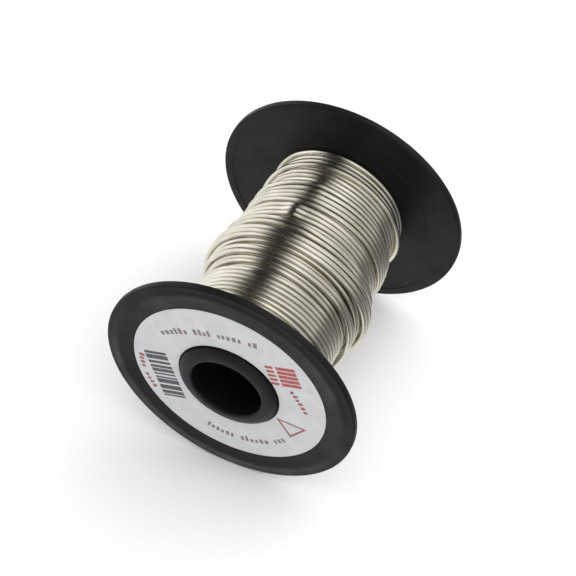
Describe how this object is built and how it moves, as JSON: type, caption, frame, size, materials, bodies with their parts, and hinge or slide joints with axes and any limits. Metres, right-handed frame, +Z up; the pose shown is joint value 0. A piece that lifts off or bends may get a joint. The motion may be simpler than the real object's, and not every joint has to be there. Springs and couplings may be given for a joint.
{
  "type": "solder wire spool",
  "caption": "Black plastic spool with two round flanges, a through bore and a paper ring label, wound with bright solder wire.",
  "frame": {"origin": "middle of the spool on the axis of its bore", "axes": "+Y along the bore from the labelled flange to the plain one, +Z up as the spool lies on the rims of its flanges"},
  "size_m": [0.08, 0.0844, 0.08],
  "materials": {
    "black_plastic": "satin black moulded plastic",
    "label_paper": "white coated paper with dark and red print",
    "solder_wire": "bright tin, slightly warm, drawn wire"
  },
  "bodies": {
    "root": {"barrel": "black_plastic", "near_flange": "black_plastic", "far_flange": "black_plastic", "front_label": "label_paper", "wire_inner_layers": "solder_wire", "wire_outer_layer": "solder_wire", "wire_start_end": "solder_wire", "wire_finish_end": "solder_wire"}
  },
  "joints": []
}
